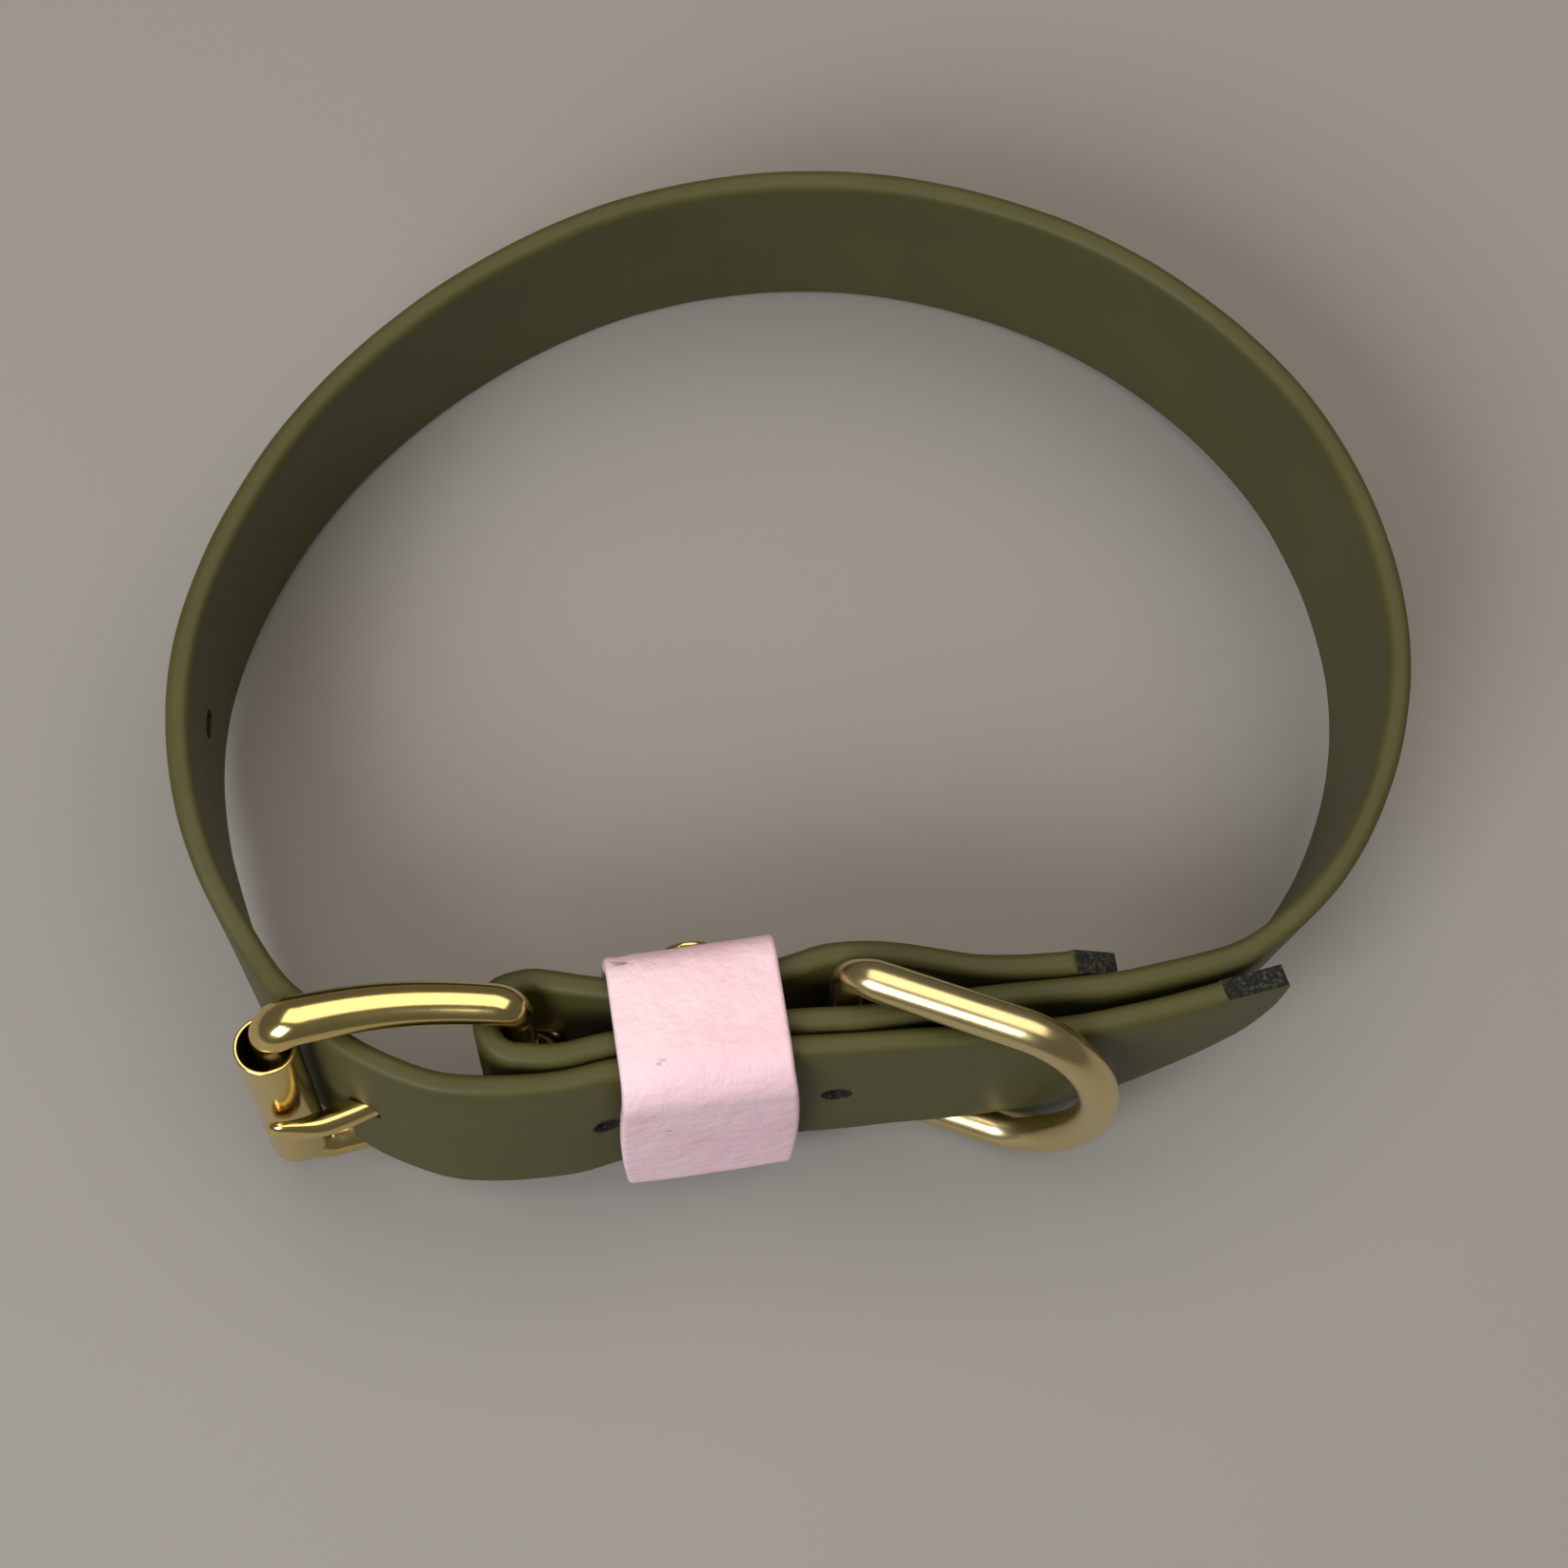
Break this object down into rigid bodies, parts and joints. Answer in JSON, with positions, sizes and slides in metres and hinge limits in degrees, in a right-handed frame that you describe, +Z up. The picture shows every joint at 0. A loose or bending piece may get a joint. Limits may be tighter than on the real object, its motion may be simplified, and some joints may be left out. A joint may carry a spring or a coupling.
{
  "type": "dog collar",
  "caption": "Buckled dog collar of flat coated strap with a roller buckle, tongue, keeper loop and swinging D-ring, standing on its edge.",
  "frame": {"origin": "middle of the collar's footprint, on the surface that it stands on", "axes": "+X along the buckled front from the roller to the strap's tip, +Y from the buckled front to the back of the loop, +Z up across the strap's width"},
  "size_m": [0.117, 0.0982, 0.035],
  "materials": {
    "strap_coating": "matte olive green coating over webbing",
    "keeper_coating": "matte pale pink coating, pebbled",
    "polished_brass": "polished",
    "satin_brass": "satin, lightly worn"
  },
  "bodies": {
    "collar": {"strap": "strap_coating", "keeper": "keeper_coating", "buckle_frame": "polished_brass", "tongue": "polished_brass", "keeper_rivet": "polished_brass", "ring_rivet": "polished_brass"},
    "roller_body": {"roller": "polished_brass"},
    "ring_body": {"d_ring": "satin_brass"}
  },
  "joints": [
    {"name": "roller_spin", "type": "hinge", "parent": "collar", "child": "roller_body", "pos_m": [-0.05239, -0.03405, 0.01672], "axis": [0, 0.2023, 0.9793], "continuous": true},
    {"name": "d_ring_swing", "type": "hinge", "parent": "collar", "child": "ring_body", "pos_m": [0.00011, -0.0353, 0.01712], "axis": [0, -0.1472, -0.9891], "range_deg": [0, 65]}
  ]
}
